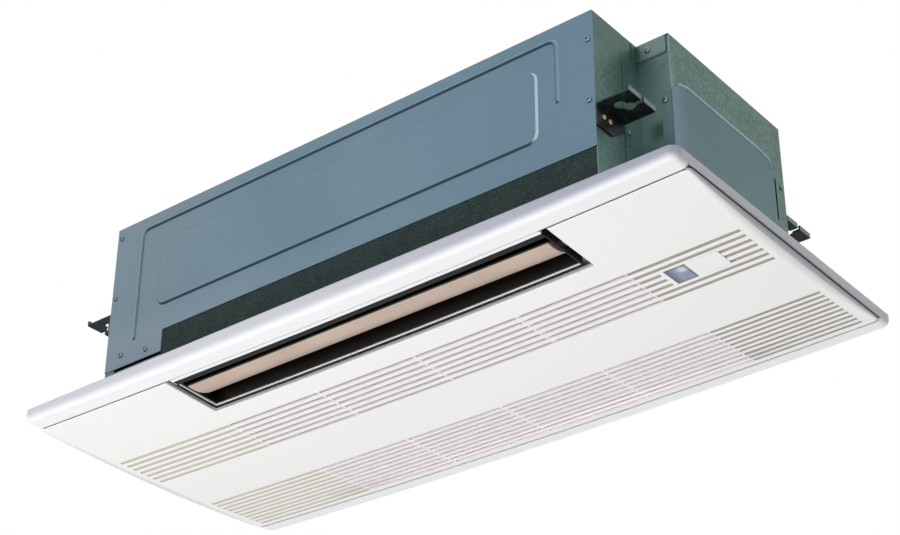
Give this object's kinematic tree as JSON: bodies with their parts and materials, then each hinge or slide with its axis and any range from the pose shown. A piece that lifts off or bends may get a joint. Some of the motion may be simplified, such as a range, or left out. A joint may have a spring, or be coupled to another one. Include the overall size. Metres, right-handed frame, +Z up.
{
  "type": "ceiling cassette air conditioner",
  "caption": "Slim one-way ceiling cassette indoor unit: domed panel with a hinged intake grille, front air vane, sheet steel casing with fan, coil and drain parts inside.",
  "frame": {"origin": "centre of the decoration panel on the ceiling plane, where the panel's upper face meets the ceiling", "axes": "+X along the panel's length towards the control box, +Y from the air outlet towards the wall side, +Z up into the ceiling"},
  "size_m": [1, 0.47, 0.281],
  "materials": {
    "white_panel": "satin",
    "window": "tinted gloss",
    "black_plastic": "matt",
    "vane_plastic": "satin",
    "dark_fan": "matt",
    "galvanised": "galvanised sheet, dull",
    "black_steel": "painted",
    "steel": "plain",
    "zinc_screw": "zinc plated",
    "brass": "plain",
    "copper": "copper, drawn",
    "fin": "bare fin stock",
    "foam": "speckled expanded foam",
    "white_foam": "expanded polystyrene",
    "grey_plastic": "matt",
    "net": "open net",
    "rubber": "matt",
    "hose": "smooth",
    "board_green": "circuit board"
  },
  "bodies": {
    "unit": {"panel_frame": "white_panel", "outlet_liner": "black_plastic", "receiver_window": "window", "receiver_housing": "black_plastic", "latch_housings": "grey_plastic", "hinge_arms": "grey_plastic", "vane_bushes": "grey_plastic", "vane_motor": "steel", "fan_motor": "steel", "motor_bracket": "galvanised", "shaft_bearing": "brass", "bearing_cushion": "rubber", "scroll_guide": "white_foam", "stabiliser": "white_foam", "duct_side_left": "white_foam", "duct_side_right": "white_foam", "coil_fins": "fin", "coil_end_plates": "galvanised", "coil_tubes": "copper", "gas_pipe": "copper", "liquid_pipe": "copper", "expansion_valve": "brass", "flare_nuts": "brass", "drain_pan": "white_foam", "drain_pump": "grey_plastic", "pump_bracket": "galvanised", "float_switch": "grey_plastic", "drain_hose": "hose", "drain_socket": "grey_plastic", "front_plate": "galvanised", "front_insulation": "foam", "rear_plate": "galvanised", "left_end_plate": "galvanised", "right_end_plate": "galvanised", "top_plate": "galvanised", "control_box": "galvanised", "control_cover": "galvanised", "control_board": "board_green", "transformer": "black_steel", "terminal_block": "grey_plastic", "bracket_front_left": "black_steel", "bracket_rear_left": "black_steel", "bracket_front_right": "black_steel", "bracket_rear_right": "black_steel", "casing_screws": "zinc_screw", "bracket_screws": "zinc_screw", "panel_screws": "zinc_screw"},
    "grille": {"intake_grille": "white_panel", "blank_cover": "white_panel", "filter_frame": "grey_plastic", "filter_net": "net", "latch_strikers": "white_panel"},
    "vane": {"air_vane": "vane_plastic", "vane_spindles": "steel"},
    "fan": {"fan_wheel": "dark_fan", "fan_shaft": "steel"},
    "impeller": {"pump_impeller": "white_panel"},
    "float": {"switch_float": "white_panel"},
    "plunger_left": {"latch_plunger_left": "grey_plastic"},
    "plunger_right": {"latch_plunger_right": "grey_plastic"}
  },
  "joints": [
    {"name": "grille_hinge", "type": "hinge", "parent": "unit", "child": "grille", "pos_m": [0, 0.203, -0.0162], "axis": [1, 0, 0], "range_deg": [0, 90]},
    {"name": "vane_swing", "type": "hinge", "parent": "unit", "child": "vane", "pos_m": [0.025, -0.16, -0.008], "axis": [1, 0, 0], "range_deg": [-19, 50]},
    {"name": "fan_spin", "type": "hinge", "parent": "unit", "child": "fan", "pos_m": [0.025, -0.098, 0.122], "axis": [1, 0, 0], "continuous": true},
    {"name": "impeller_spin", "type": "hinge", "parent": "unit", "child": "impeller", "pos_m": [-0.338, -0.03, 0.06], "axis": [0, 0, 1], "continuous": true},
    {"name": "float_rise", "type": "slide", "parent": "unit", "child": "float", "axis": [0, 0, 1], "range_m": [0, 0.01]},
    {"name": "plunger_left_push", "type": "slide", "parent": "unit", "child": "plunger_left", "axis": [0, 0, 1], "range_m": [0, 0.003], "stiffness_N_per_m": 300, "springref_m": -0.001},
    {"name": "plunger_right_push", "type": "slide", "parent": "unit", "child": "plunger_right", "axis": [0, 0, 1], "range_m": [0, 0.003], "stiffness_N_per_m": 300, "springref_m": -0.001}
  ]
}
